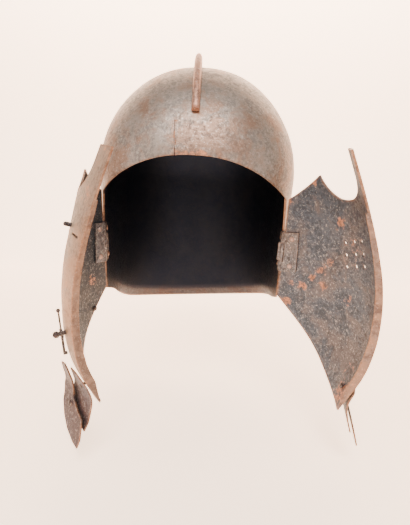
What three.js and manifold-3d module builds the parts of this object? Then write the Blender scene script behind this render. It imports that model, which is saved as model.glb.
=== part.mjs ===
// A steel armet with two hinged cheek doors, shown with both doors swung open.
// Millimetres, +Z up, the face looks along -Y, the wearer's left is +X.
// Every piece is drawn in helmet axes: the middle of the two hinges is the zero point there,
// and each door is drawn shut. A last group moves the zero point to the seat of the head.
import * as THREE from 'three';
import { mergeVertices } from 'three/addons/utils/BufferGeometryUtils.js';
import Module from 'manifold-3d';

const wasm = await Module();
wasm.setup();

// Fit between pieces, what the flat facets of a curved wall may stray from it, and how plates are dished
const GAP = 0.3;
const FACET_ALLOWANCE = 0.35;
const PLATE_DISH = 0.002;
const CURVE_STEPS = 6;

// Skull: a round dome on walls that narrow a little towards the neck
const SKULL_HALF_WIDTH = 110.5;
const SKULL_HALF_LENGTH = 118;
const SKULL_WALL = 2;
const SKULL_CENTRE_Y = 57;
const EQUATOR_Z = 78;
const DOME_HEIGHT = 118.5;
const DOME_POWER = 1.955;
const PLAN_POWER = 2.45;
const WALL_TAPER = 0.06;

// Face opening and lower edge
const BROW_Z = 90;
const BROW_DROP = 36;
const BROW_HALF_SPAN = 97;
const BROW_POWER = 2.2;
const EDGE_SETBACK = 0.8;
const SIDE_EDGE_BOTTOM = -54;
const LOWER_EDGE_SLOPE = 0.246;
const NAPE_FLARE = 5;
const NAPE_FLARE_HEIGHT = 13;
const NAPE_DROP = 3;
const NAPE_TILT = 0.07;

// Comb along the middle of the skull
const COMB_WIDTH = 7.5;
const COMB_FOOT_HEIGHT = 5;
const COMB_TOP_HEIGHT = 13.5;
const COMB_START_ANGLE = 26;
const COMB_END_ANGLE = 163;
const COMB_SKEW = 0.05;

// Hinges
const HINGE_X = 98;
const HINGE_LEAN = 0.24;
const HINGE_LENGTH = 43;
const MIDDLE_KNUCKLE = 20;
const KNUCKLE_RADIUS = 3.4;
const BORE_RADIUS = 1.85;
const PIN_RADIUS = 1.5;
const PIN_HEAD_RADIUS = 2.6;
const PIN_HEAD_HEIGHT = 1.2;
const LEAF_WIDTH = 15;
const LEAF_THICKNESS = 1.4;
const LEAF_START = 1.5;
const SKULL_LEAF_START = 0.2;
const WEB_REACH = 5;
const WEB_WIDTH = 2.1;
const LEAF_RIVET_REACH = 9;
const LEAF_RIVET_HEIGHT = 15;

// Doors
const DOOR_WALL = 1.8;
const DOOR_PLATE_WIDTH = 133;
const DOOR_TOP = 107;
const DOOR_BOTTOM = -130;
const DOOR_BELLY = 79.3;
const DOOR_CONTROL_X = 63.5;
const DOOR_FULLNESS = 1.02;
const DOOR_REAR_GAP = 0.5;
const DOOR_REAR_TOP = 56;
const DOOR_REAR_BOTTOM = -51;
const DOOR_PEAK_REACH = { left: 40, right: 47 };
const DOOR_PEAK_Z = { left: 79.5, right: 75.5 };
const EYE_NOTCH_REACH = 73;
const EYE_NOTCH_Z = 59;
const LOWER_EDGE_POWER = 2.5;
const MIDLINE_GAP = 0.4;
const FLANGE_WALL = 1.6;
const FLANGE_TOP = 58;
const FLANGE_DEPTH_TOP = 3;
const FLANGE_DEPTH_BOTTOM = 9;
const FLANGE_TIP_SHARE = 0.14;
const NASAL_WIDTH = { left: 15, right: 22 };
const NASAL_TOP = { left: 107, right: 100 };
const REST_ANGLE = { left: 82, right: 45 };

// Breathing holes in the left door, and the slot in the right one
const HOLE_RADIUS = 1.4;
const HOLE_COLUMNS = 3;
const HOLE_ROWS = 3;
const HOLE_FIRST_REACH = 68;
const HOLE_TOP_Z = 17;
const HOLE_COLUMN_STEP = 13.2;
const HOLE_ROW_STEP = 12.2;
const HOLE_ROW_RISE = 0.27;
const SLOT_REACH = 116;
const SLOT_Z = 26;
const SLOT_LENGTH = 16;
const SLOT_HEIGHT = 2;

// Throat lames
const LAME_WALL = 1.4;
const LAME_CURVE = 0.0004;
const LAME_EDGE_GAP = 0.6;
const LAME_TO_DOOR = 4;
const LAME_TO_LAME = 2.7;
const LAME_RIVET_REACH = 12;

// Rivets
const RIVET_RADIUS = 1.5;
const RIVET_HEAD_RADIUS = 3;
const RIVET_HEAD_HEIGHT = 1.5;
const FLUSH_HEAD_HEIGHT = 0.7;
const RIVET_SIDES = 8;

// Fastening hook on its post, and the catch pin above it, on the right door
const POST_REACH = 115;
const POST_Z = -60;
const POST_RADIUS = 1.9;
const POST_LENGTH = 5.5;
const POST_HEAD_RADIUS = 2.9;
const HOOK_THICKNESS = 1.8;
const HOOK_WIDTH = 2.6;
const HOOK_RING_RADIUS = 4.2;
const HOOK_ARM = 20;
const HOOK_TAIL = 22;
const HOOK_TURN = 3.4;
const HOOK_STANDOFF = 3.2;
const CATCH_REACH = 97;
const CATCH_Z = 31;
const CATCH_LENGTH = 3;
const EDGE_RIVET_REACH = 20;
const EDGE_RIVET_INSET = 3.4;

// Seat of the head under the crown, which the finished helmet has as its zero point
const SEAT = new THREE.Vector3(0, SKULL_CENTRE_Y, EQUATOR_Z + DOME_HEIGHT - SKULL_WALL);

const SIDE_SIGN = { left: 1, right: -1 };
const SIDES = ['left', 'right'];
const HINGE_AXIS = new THREE.Vector3(0, -HINGE_LEAN, 1).normalize();

// Depth of the closed doors' middle line in front of the hinges, over the height of a door.
// Columns: share of the door's height, share of the belly's depth.
const MIDLINE_PROFILE = [
  [0, 0.46],
  [0.15, 0.755],
  [0.28, 0.905],
  [0.41, 0.98],
  [0.535, 1],
  [0.65, 0.975],
  [0.76, 0.93],
  [0.88, 0.865],
  [1, 0.79],
];

// Outer faces of the throat lames at the middle line.
// Columns: height, depth in front of the hinges.
const UPPER_LAME_PROFILE = [
  [-160, 46.5],
  [-140, 44.8],
  [-126, 45.6],
  [-112, 52.3],
  [-98, 60.3],
];
const LOWER_LAME_PROFILE = [
  [-177, 51.6],
  [-150, 49.2],
  [-138, 48.4],
  [-126, 49.8],
  [-112, 56.2],
  [-94, 66],
];

// Outlines of the lames seen from the front. Columns: distance from the middle, height.
const UPPER_LAME_OUTLINE = [
  [LAME_EDGE_GAP, -112],
  [LAME_EDGE_GAP, -150],
  [3, -160],
  [18, -157],
  [33, -153],
  [39, -142],
  [37, -128],
  [30, -113],
  [26, -103],
  [14, -103],
];
const LOWER_LAME_OUTLINE = [
  [1.5, -168],
  [3, -177],
  [13, -176],
  [27, -171],
  [38, -163],
  [46, -152],
  [50, -134],
  [46, -115],
  [36, -101],
  [25, -97],
  [28, -112],
  [31, -128],
  [28, -138],
  [20, -144],
  [7, -149],
  [4, -156],
];
const UPPER_LAME_RIVET = [16, -118];
const LOWER_LAME_RIVET = [31, -146];

// Materials
const COLOURS = { skull: 0x8d7f74, comb: 0x8a6f60, door: 0x86776c, hinge: 0x8f7a68, rivet: 0x6b5a50, lame: 0x82695d };

function steel(colour) {
  return new THREE.MeshStandardMaterial({ color: colour, roughness: 0.5, metalness: 0.85 });
}

// Small mathematics

// Smooth curve through rows of [position, value], straight beyond its ends.
function profileAt(rows, position) {
  const last = rows.length - 1;
  let i = 0;
  while (i < last - 1 && position > rows[i + 1][0]) i += 1;
  const slope = (j) => {
    const before = rows[Math.max(0, j - 1)];
    const after = rows[Math.min(last, j + 1)];
    return (after[1] - before[1]) / (after[0] - before[0]);
  };
  if (position <= rows[0][0]) return rows[0][1] + slope(0) * (position - rows[0][0]);
  if (position >= rows[last][0]) return rows[last][1] + slope(last) * (position - rows[last][0]);
  const span = rows[i + 1][0] - rows[i][0];
  const t = (position - rows[i][0]) / span;
  const start = rows[i][1] * (2 * t ** 3 - 3 * t ** 2 + 1) + slope(i) * span * (t ** 3 - 2 * t ** 2 + t);
  const end = rows[i + 1][1] * (3 * t ** 2 - 2 * t ** 3) + slope(i + 1) * span * (t ** 3 - t ** 2);
  return start + end;
}

function signedPower(value, power) {
  return Math.sign(value) * Math.abs(value) ** power;
}

// Solids and booleans

function signedVolume(positions, indices) {
  const a = new THREE.Vector3();
  const b = new THREE.Vector3();
  const c = new THREE.Vector3();
  let sum = 0;
  for (let i = 0; i < indices.length; i += 3) {
    a.fromArray(positions, indices[i] * 3);
    b.fromArray(positions, indices[i + 1] * 3);
    c.fromArray(positions, indices[i + 2] * 3);
    sum += a.dot(b.cross(c)) / 6;
  }
  return sum;
}

// A closed geometry from plain arrays, turned so that its faces point out.
function closedGeometry(positions, indices) {
  const turned = signedVolume(positions, indices) < 0;
  const faces = [];
  for (let i = 0; i < indices.length; i += 3) {
    faces.push(indices[i], indices[i + (turned ? 2 : 1)], indices[i + (turned ? 1 : 2)]);
  }
  const geometry = new THREE.BufferGeometry();
  geometry.setAttribute('position', new THREE.Float32BufferAttribute(positions, 3));
  geometry.setIndex(faces);
  return geometry;
}

// The same body with its corners shared and its faces pointing out.
function welded(geometry) {
  const bare = geometry.clone();
  bare.deleteAttribute('normal');
  bare.deleteAttribute('uv');
  const merged = mergeVertices(bare, 1e-4);
  return closedGeometry(Array.from(merged.getAttribute('position').array), Array.from(merged.index.array));
}

function toSolid(geometry) {
  const outward = welded(geometry);
  const vertProperties = Float32Array.from(outward.getAttribute('position').array);
  const triVerts = Uint32Array.from(outward.index.array);
  return new wasm.Manifold(new wasm.Mesh({ numProp: 3, vertProperties, triVerts }));
}

function toGeometry(solid) {
  const mesh = solid.getMesh();
  const geometry = new THREE.BufferGeometry();
  geometry.setAttribute('position', new THREE.BufferAttribute(Float32Array.from(mesh.vertProperties), 3));
  geometry.setIndex(Array.from(mesh.triVerts));
  return geometry;
}

function cut(geometry, tools) {
  let solid = toSolid(geometry);
  for (const tool of tools) solid = solid.subtract(toSolid(tool));
  return toGeometry(solid);
}

function join(geometries) {
  let solid = toSolid(geometries[0]);
  for (const geometry of geometries.slice(1)) solid = solid.add(toSolid(geometry));
  return toGeometry(solid);
}

// Moves every vertex of a geometry by a function of its place.
function mapped(geometry, move) {
  const result = geometry.clone();
  const position = result.getAttribute('position');
  const point = new THREE.Vector3();
  for (let i = 0; i < position.count; i += 1) {
    point.fromBufferAttribute(position, i);
    const moved = move(point);
    position.setXYZ(i, moved.x, moved.y, moved.z);
  }
  return welded(result);
}

// A flat plate with an outline, in a grid fine enough to bend.
// Its own axes: reach across, height, depth inward from the outer face.
// It is cut while slightly dished, because a cut through a dead flat grid loses the grid's points.
function flatPlate(outline, depthFrom, depthTo, columns, rows) {
  const box = new THREE.Box2().setFromPoints(outline.getPoints(CURVE_STEPS));
  const margin = 1;
  const width = box.max.x - box.min.x + 2 * margin;
  const height = box.max.y - box.min.y + 2 * margin;
  const centre = box.getCenter(new THREE.Vector2());
  const dish = (p) => PLATE_DISH * ((p.x - centre.x) ** 2 + (p.y - centre.y) ** 2);
  const grid = new THREE.BoxGeometry(width, height, depthTo - depthFrom, columns, rows, 1);
  grid.translate(centre.x, centre.y, (depthFrom + depthTo) / 2);
  const dished = mapped(grid, (p) => new THREE.Vector3(p.x, p.y, p.z + dish(p)));
  const deepest = depthTo + PLATE_DISH * (width ** 2 + height ** 2);
  const blank = new THREE.ExtrudeGeometry(outline, {
    depth: deepest - depthFrom + 2 * margin,
    bevelEnabled: false,
    curveSegments: CURVE_STEPS,
  });
  blank.translate(0, 0, depthFrom - margin);
  const plate = toGeometry(toSolid(dished).intersect(toSolid(blank)));
  return mapped(plate, (p) => new THREE.Vector3(p.x, p.y, p.z - dish(p)));
}

// Unit vector away from the helmet's upright middle line, square to a surface.
function outwardNormal(surface, reach, height) {
  const step = 0.5;
  const across = surface(reach + step, height).sub(surface(reach - step, height));
  const upward = surface(reach, height + step).sub(surface(reach, height - step));
  const normal = across.cross(upward).normalize();
  const point = surface(reach, height);
  const away = new THREE.Vector3(point.x, point.y - SKULL_CENTRE_Y, 0);
  return normal.dot(away) < 0 ? normal.negate() : normal;
}

// Bends a flat plate onto a surface, on the left or the mirrored right side.
function bend(plate, surface, side) {
  return mapped(plate, (flat) => {
    const point = surface(flat.x, flat.y);
    point.addScaledVector(outwardNormal(surface, flat.x, flat.y), -flat.z);
    point.x *= SIDE_SIGN[side];
    return point;
  });
}

// The place and direction of a fastener square to a surface.
function seatOn(surface, reach, height, side) {
  const point = surface(reach, height);
  const outward = outwardNormal(surface, reach, height);
  point.x *= SIDE_SIGN[side];
  outward.x *= SIDE_SIGN[side];
  return { point, outward };
}

// Stands a geometry, drawn along +Y, on a seat, with +Y pointing outward.
function standOn(geometry, seat) {
  const turn = new THREE.Quaternion().setFromUnitVectors(new THREE.Vector3(0, 1, 0), seat.outward);
  return geometry.clone().applyQuaternion(turn).translate(seat.point.x, seat.point.y, seat.point.z);
}

function turned(profile, segments) {
  return new THREE.LatheGeometry(profile.map(([radius, height]) => new THREE.Vector2(radius, height)), segments);
}

// A shank with a rounded head outside and one inside. Heights count outward from the outer face.
function rivetGeometry(stack, outerHead, innerHead) {
  const top = GAP;
  const bottom = -stack - GAP;
  return turned([
    [0, bottom - innerHead],
    [RIVET_HEAD_RADIUS * 0.75, bottom - innerHead * 0.7],
    [RIVET_HEAD_RADIUS, bottom],
    [RIVET_RADIUS, bottom],
    [RIVET_RADIUS, top],
    [RIVET_HEAD_RADIUS, top],
    [RIVET_HEAD_RADIUS * 0.75, top + outerHead * 0.7],
    [0, top + outerHead],
  ], RIVET_SIDES);
}

function rivetHole(centreReach, centreHeight) {
  const hole = new THREE.Path();
  hole.absarc(centreReach, centreHeight, RIVET_RADIUS + GAP, 0, Math.PI * 2, true);
  return hole;
}

function drill(seat, radius, length) {
  return standOn(new THREE.CylinderGeometry(radius, radius, length, 10), seat);
}

// Skull

function skullHalfWidth(z) {
  return SKULL_HALF_WIDTH - WALL_TAPER * Math.max(0, EQUATOR_Z - z);
}

function lowerEdgeZ(y) {
  return SIDE_EDGE_BOTTOM - LOWER_EDGE_SLOPE * (y - HINGE_LEAN * HINGE_LENGTH);
}

function smoothStep(value, from, to) {
  const t = Math.min(1, Math.max(0, (value - from) / (to - from)));
  return t * t * (3 - 2 * t);
}

function skullPlan(angle, halfWidth, halfLength) {
  const x = halfWidth * signedPower(Math.cos(angle), 2 / PLAN_POWER);
  const y = SKULL_CENTRE_Y + halfLength * signedPower(Math.sin(angle), 2 / PLAN_POWER);
  return [x, y];
}

// One column of the skull's outer or inner face, from the lower edge up to just under the crown.
function skullColumn(angle, inset) {
  const wallRows = 4;
  const domeRows = 9;
  const column = [];
  const [edgeX, edgeY] = skullPlan(angle, SKULL_HALF_WIDTH, SKULL_HALF_LENGTH);
  const rear = smoothStep(edgeY, SKULL_CENTRE_Y - 10, SKULL_CENTRE_Y + 70);
  const bottom = lowerEdgeZ(edgeY) + rear * (NAPE_TILT * edgeX - NAPE_DROP);
  const flare = NAPE_FLARE * rear;
  const crease = bottom + NAPE_FLARE_HEIGHT;
  const addWall = (z, spread) => {
    const grow = spread - inset;
    const [x, y] = skullPlan(angle, skullHalfWidth(z) + grow, SKULL_HALF_LENGTH + grow);
    column.push([x, y, z]);
  };
  addWall(bottom, flare);
  for (let i = 0; i < wallRows; i += 1) addWall(crease + (EQUATOR_Z - crease) * (i / wallRows), 0);
  for (let i = 0; i < domeRows; i += 1) {
    const rise = Math.sin((Math.PI / 2) * (i / domeRows));
    const width = (1 - rise ** DOME_POWER) ** (1 / DOME_POWER);
    const [x, y] = skullPlan(angle, (SKULL_HALF_WIDTH - inset) * width, (SKULL_HALF_LENGTH - inset) * width);
    column.push([x, y, EQUATOR_Z + (DOME_HEIGHT - inset) * rise]);
  }
  return column;
}

function skullShell() {
  const around = 44;
  const positions = [];
  const indices = [];
  const insets = [0, SKULL_WALL];
  let rows = 0;
  for (const inset of insets) {
    for (let i = 0; i < around; i += 1) {
      const column = skullColumn((2 * Math.PI * i) / around, inset);
      rows = column.length;
      positions.push(...column.flat());
    }
  }
  const index = (layer, i, row) => layer * around * rows + (i % around) * rows + row;
  const crowns = [];
  for (const inset of insets) {
    crowns.push(positions.length / 3);
    positions.push(0, SKULL_CENTRE_Y, EQUATOR_Z + DOME_HEIGHT - inset);
  }
  const quad = (a, b, c, d) => indices.push(a, b, c, a, c, d);
  for (let i = 0; i < around; i += 1) {
    for (let row = 0; row < rows - 1; row += 1) {
      quad(index(0, i, row), index(0, i + 1, row), index(0, i + 1, row + 1), index(0, i, row + 1));
      quad(index(1, i + 1, row), index(1, i, row), index(1, i, row + 1), index(1, i + 1, row + 1));
    }
    indices.push(index(0, i, rows - 1), index(0, i + 1, rows - 1), crowns[0]);
    indices.push(index(1, i + 1, rows - 1), index(1, i, rows - 1), crowns[1]);
    quad(index(0, i + 1, 0), index(0, i, 0), index(1, i, 0), index(1, i + 1, 0));
  }
  return closedGeometry(positions, indices);
}

function browZ(x) {
  return BROW_Z - BROW_DROP * (Math.abs(x) / BROW_HALF_SPAN) ** BROW_POWER;
}

// Everything under the brow and in front of the leaning side edges.
function faceOpening() {
  const steps = 24;
  const reach = BROW_HALF_SPAN + 6;
  const floor = 2 * SIDE_EDGE_BOTTOM;
  const outline = new THREE.Shape();
  outline.moveTo(-reach, floor);
  for (let i = 0; i <= steps; i += 1) {
    const x = -reach + (2 * reach * i) / steps;
    outline.lineTo(x, browZ(x));
  }
  outline.lineTo(reach, floor);
  const block = new THREE.ExtrudeGeometry(outline, { depth: 1, bevelEnabled: false });
  const front = -2 * SKULL_HALF_LENGTH;
  return mapped(block, (p) => new THREE.Vector3(p.x, p.z < 0.5 ? front : EDGE_SETBACK - HINGE_LEAN * p.y, p.y));
}

// The skull's side wall behind a hinge: reach counts backward from the hinge.
function skullSide(reach, height) {
  const y = reach - HINGE_LEAN * height;
  const share = Math.abs((y - SKULL_CENTRE_Y) / SKULL_HALF_LENGTH);
  const x = skullHalfWidth(height) * (1 - share ** PLAN_POWER) ** (1 / PLAN_POWER);
  return new THREE.Vector3(x, y, height);
}

// Doors

function midlineDepth(z) {
  const share = (z - DOOR_BOTTOM) / (DOOR_TOP - DOOR_BOTTOM);
  return DOOR_BELLY * profileAt(MIDLINE_PROFILE, share);
}

// The closed left door's outer face: reach counts from the hinge to the middle line.
function doorSurface(reach, height) {
  const share = reach / DOOR_PLATE_WIDTH;
  const hingeY = -HINGE_LEAN * height;
  const midlineY = -midlineDepth(height);
  const controlY = hingeY + DOOR_FULLNESS * (midlineY - hingeY);
  const start = (1 - share) ** 2;
  const middle = 2 * share * (1 - share);
  const end = share ** 2;
  const x = start * HINGE_X + middle * DOOR_CONTROL_X + end * MIDLINE_GAP;
  const y = start * hingeY + middle * controlY + end * midlineY;
  return new THREE.Vector3(x, y, height);
}

function doorLowerEdge(share) {
  return DOOR_REAR_BOTTOM + (DOOR_BOTTOM - DOOR_REAR_BOTTOM) * (1 - (1 - share) ** LOWER_EDGE_POWER);
}

function doorOutline(side) {
  const steps = 14;
  const barReach = DOOR_PLATE_WIDTH - NASAL_WIDTH[side];
  const top = NASAL_TOP[side];
  const outline = new THREE.Shape();
  outline.moveTo(DOOR_REAR_GAP, DOOR_REAR_TOP);
  for (let i = 0; i <= steps; i += 1) {
    const share = i / steps;
    outline.lineTo(DOOR_REAR_GAP + share * (DOOR_PLATE_WIDTH - DOOR_REAR_GAP), doorLowerEdge(share));
  }
  outline.lineTo(DOOR_PLATE_WIDTH, top);
  outline.lineTo(barReach + 1, top);
  const barRoot = EYE_NOTCH_Z + 27;
  outline.lineTo(barReach, barRoot);
  outline.bezierCurveTo(
    barReach - 2, barRoot - 18,
    EYE_NOTCH_REACH + 19, EYE_NOTCH_Z,
    EYE_NOTCH_REACH, EYE_NOTCH_Z,
  );
  outline.bezierCurveTo(
    EYE_NOTCH_REACH - 13, EYE_NOTCH_Z,
    DOOR_PEAK_REACH[side] + 6.5, DOOR_PEAK_Z[side] - 11,
    DOOR_PEAK_REACH[side], DOOR_PEAK_Z[side],
  );
  outline.closePath();
  return outline;
}

function breathHoles() {
  const holes = [];
  for (let row = 0; row < HOLE_ROWS; row += 1) {
    for (let column = 0; column < HOLE_COLUMNS; column += 1) {
      const reach = HOLE_FIRST_REACH + column * HOLE_COLUMN_STEP;
      const height = HOLE_TOP_Z - row * HOLE_ROW_STEP + column * HOLE_COLUMN_STEP * HOLE_ROW_RISE;
      holes.push(drill(seatOn(doorSurface, reach, height, 'left'), HOLE_RADIUS, 4 * DOOR_WALL));
    }
  }
  return holes;
}

// Round holes for the post, the catch pin and the edge rivet of the right door.
function fasteningHoles() {
  const edge = edgeRivetPlace();
  const places = [
    [POST_REACH, POST_Z, POST_RADIUS],
    [CATCH_REACH, CATCH_Z, POST_RADIUS],
    [edge.reach, edge.height, RIVET_RADIUS],
  ];
  return places.map(([reach, height, radius]) => {
    return drill(seatOn(doorSurface, reach, height, 'right'), radius + GAP, 4 * DOOR_WALL);
  });
}

function catchSlot() {
  const slot = new THREE.Path();
  const half = SLOT_LENGTH / 2;
  slot.moveTo(SLOT_REACH - half, SLOT_Z - SLOT_HEIGHT / 2);
  slot.lineTo(SLOT_REACH - half, SLOT_Z + SLOT_HEIGHT / 2);
  slot.lineTo(SLOT_REACH + half, SLOT_Z + SLOT_HEIGHT / 2);
  slot.lineTo(SLOT_REACH + half, SLOT_Z - SLOT_HEIGHT / 2);
  slot.closePath();
  return slot;
}

// A rivet's place on a door or leaf: reach from the hinge, height on the upright axis.
function leafRivetPlaces() {
  return {
    upper: [LEAF_RIVET_REACH, LEAF_RIVET_HEIGHT],
    lower: [LEAF_RIVET_REACH, -LEAF_RIVET_HEIGHT],
  };
}

// The reach on a door at which its face lies x millimetres from the middle.
function reachOfX(x) {
  let low = 0;
  let high = DOOR_PLATE_WIDTH;
  for (let i = 0; i < 30; i += 1) {
    const middle = (low + high) / 2;
    if (doorSurface(middle, 0).x > x) low = middle;
    else high = middle;
  }
  return (low + high) / 2;
}

// The inward-turned strip along the middle line of a closed door.
function flangeGeometry(side) {
  const rows = 16;
  const positions = [];
  const indices = [];
  const sign = SIDE_SIGN[side];
  for (let i = 0; i <= rows; i += 1) {
    const z = DOOR_BOTTOM + 2 + ((FLANGE_TOP - DOOR_BOTTOM - 2) * i) / rows;
    const share = i / rows;
    const taper = 0.2 + 0.8 * smoothStep(share, 0, FLANGE_TIP_SHARE);
    const depth = taper * (FLANGE_DEPTH_BOTTOM + (FLANGE_DEPTH_TOP - FLANGE_DEPTH_BOTTOM) * share);
    const front = -midlineDepth(z) + DOOR_WALL * 0.4;
    const near = MIDLINE_GAP;
    const far = MIDLINE_GAP + FLANGE_WALL;
    for (const [x, y] of [[near, front], [far, front], [far, front + depth], [near, front + depth]]) {
      positions.push(sign * x, y, z);
    }
  }
  for (let i = 0; i < rows; i += 1) {
    for (let corner = 0; corner < 4; corner += 1) {
      const a = i * 4 + corner;
      const b = i * 4 + ((corner + 1) % 4);
      indices.push(a, b, b + 4, a, b + 4, a + 4);
    }
  }
  const last = rows * 4;
  indices.push(0, 2, 1, 0, 3, 2, last, last + 1, last + 2, last, last + 2, last + 3);
  return closedGeometry(positions, indices);
}

// Lames

function lameSurface(profile) {
  return (x, height) => new THREE.Vector3(x, LAME_CURVE * x * x - profileAt(profile, height), height);
}

function outlineFrom(rows) {
  const outline = new THREE.Shape();
  outline.moveTo(rows[0][0], rows[0][1]);
  for (const [x, height] of rows.slice(1)) outline.lineTo(x, height);
  outline.closePath();
  return outline;
}

// Hinges

// Turns a geometry drawn along +Y round the middle of a hinge.
function onHinge(geometry, side) {
  const turn = new THREE.Quaternion().setFromUnitVectors(new THREE.Vector3(0, 1, 0), HINGE_AXIS);
  return geometry.clone().applyQuaternion(turn).translate(SIDE_SIGN[side] * HINGE_X, 0, 0);
}

function tube(from, to) {
  return turned([
    [BORE_RADIUS, from],
    [KNUCKLE_RADIUS, from],
    [KNUCKLE_RADIUS, to],
    [BORE_RADIUS, to],
    [BORE_RADIUS, from],
  ], 10);
}

function rod(radius, from, to) {
  return new THREE.CylinderGeometry(radius, radius, to - from, 14).translate(0, (from + to) / 2, 0);
}

const HALF_HINGE = HINGE_LENGTH / 2;
const HALF_KNUCKLE = MIDDLE_KNUCKLE / 2;
const CLEAR_RADIUS = KNUCKLE_RADIUS + GAP;

function leafOutline(start) {
  const outline = new THREE.Shape();
  outline.moveTo(start, -HALF_HINGE);
  outline.lineTo(LEAF_WIDTH, -HALF_HINGE);
  outline.lineTo(LEAF_WIDTH, HALF_HINGE);
  outline.lineTo(start, HALF_HINGE);
  outline.closePath();
  for (const [reach, height] of Object.values(leafRivetPlaces())) outline.holes.push(rivetHole(reach, height));
  return outline;
}

function leafPlate(start, wall, surface, side) {
  const from = wall + GAP + FACET_ALLOWANCE;
  return bend(flatPlate(leafOutline(start), from, from + LEAF_THICKNESS, 2, 2), surface, side);
}

// Joins the middle knuckle to the skull's leaf, which lies further in than the barrel.
function knuckleWeb(side, clearance = 0) {
  const inner = WEB_REACH + clearance;
  const outer = (BORE_RADIUS + KNUCKLE_RADIUS) / 2;
  const web = new THREE.BoxGeometry(inner - outer, MIDDLE_KNUCKLE + 2 * clearance, WEB_WIDTH + 2 * clearance);
  web.translate((-SIDE_SIGN[side] * (inner + outer)) / 2, 0, -WEB_WIDTH * 0.42);
  return onHinge(web, side);
}

function doorLeaf(side) {
  const plate = cut(leafPlate(LEAF_START, DOOR_WALL, doorSurface, side), [
    onHinge(rod(WEB_REACH + GAP, -HALF_KNUCKLE - GAP, HALF_KNUCKLE + GAP), side),
    onHinge(rod(BORE_RADIUS, -HINGE_LENGTH, HINGE_LENGTH), side),
  ]);
  const upper = onHinge(tube(HALF_KNUCKLE + GAP, HALF_HINGE), side);
  const lower = onHinge(tube(-HALF_HINGE, -HALF_KNUCKLE - GAP), side);
  return join([plate, upper, lower]);
}

function skullLeaf(side) {
  const plate = cut(leafPlate(SKULL_LEAF_START, SKULL_WALL, skullSide, side), [
    onHinge(rod(WEB_REACH, HALF_KNUCKLE, HINGE_LENGTH), side),
    onHinge(rod(WEB_REACH, -HINGE_LENGTH, -HALF_KNUCKLE), side),
  ]);
  return join([plate, knuckleWeb(side), onHinge(tube(-HALF_KNUCKLE, HALF_KNUCKLE), side)]);
}

function hingePin(side) {
  const end = HALF_HINGE + GAP;
  const pin = turned([
    [0, -end - PIN_HEAD_HEIGHT],
    [PIN_HEAD_RADIUS, -end - PIN_HEAD_HEIGHT * 0.5],
    [PIN_HEAD_RADIUS, -end],
    [PIN_RADIUS, -end],
    [PIN_RADIUS, end],
    [PIN_HEAD_RADIUS, end],
    [PIN_HEAD_RADIUS, end + PIN_HEAD_HEIGHT * 0.5],
    [0, end + PIN_HEAD_HEIGHT],
  ], 10);
  return onHinge(pin, side);
}

function barrelRecess(side) {
  return onHinge(rod(CLEAR_RADIUS, -HALF_HINGE - 2, HALF_HINGE + 2), side);
}

// Post, hook, catch pin and edge rivet of the right door

function pinGeometry(length, headRadius) {
  const bottom = -DOOR_WALL - GAP - 2 * FACET_ALLOWANCE;
  return turned([
    [0, bottom - FLUSH_HEAD_HEIGHT],
    [RIVET_HEAD_RADIUS, bottom - FLUSH_HEAD_HEIGHT * 0.5],
    [RIVET_HEAD_RADIUS, bottom],
    [POST_RADIUS, bottom],
    [POST_RADIUS, length],
    [headRadius, length + headRadius * 0.3],
    [headRadius, length + headRadius * 1.1],
    [headRadius * 0.6, length + headRadius * 1.6],
    [0, length + headRadius * 1.75],
  ], 10);
}

// The hook is flat, with a ring round the post, a turned-in tip below and a knobbed tail above.
// Own axes: x along the door, y outward, z up, with the post at the zero point.
function hookGeometry() {
  const ringOutline = new THREE.Shape();
  ringOutline.absarc(0, 0, HOOK_RING_RADIUS, 0, Math.PI * 2, false);
  const bore = new THREE.Path();
  bore.absarc(0, 0, POST_RADIUS + GAP, 0, Math.PI * 2, true);
  ringOutline.holes.push(bore);
  const plate = { depth: HOOK_THICKNESS, bevelEnabled: false, curveSegments: 8 };
  const ring = new THREE.ExtrudeGeometry(ringOutline, plate);
  ring.translate(0, 0, -HOOK_THICKNESS / 2);
  const start = POST_RADIUS + GAP + 0.8;
  const arm = new THREE.BoxGeometry(HOOK_WIDTH, HOOK_ARM - start, HOOK_THICKNESS);
  arm.translate(0, -(start + HOOK_ARM) / 2, 0);
  const tip = new THREE.BoxGeometry(HOOK_WIDTH, HOOK_THICKNESS, HOOK_TURN);
  tip.translate(0, -HOOK_ARM, -HOOK_TURN / 2 + HOOK_THICKNESS / 2);
  const tail = new THREE.BoxGeometry(HOOK_WIDTH * 0.6, HOOK_TAIL - start, HOOK_THICKNESS * 0.7);
  tail.translate(0, (start + HOOK_TAIL) / 2, 0);
  const knob = new THREE.SphereGeometry(HOOK_WIDTH * 0.7, 8, 6);
  knob.translate(0, HOOK_TAIL, 0);
  const flat = join([ring, arm, tip, tail, knob]);
  return mapped(flat, (p) => new THREE.Vector3(p.x, p.z, p.y));
}

// The hook's own axes at its post: outward from the door, and straight down the door.
function hookPlacement(side) {
  const seat = seatOn(doorSurface, POST_REACH, POST_Z, side);
  const up = new THREE.Vector3(0, 0, 1).addScaledVector(seat.outward, -seat.outward.z).normalize();
  const across = new THREE.Vector3().crossVectors(seat.outward, up);
  const turn = new THREE.Matrix4().makeBasis(across, seat.outward, up);
  const centre = seat.point.clone().addScaledVector(seat.outward, HOOK_STANDOFF);
  return { turn, centre };
}

// Comb

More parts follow.
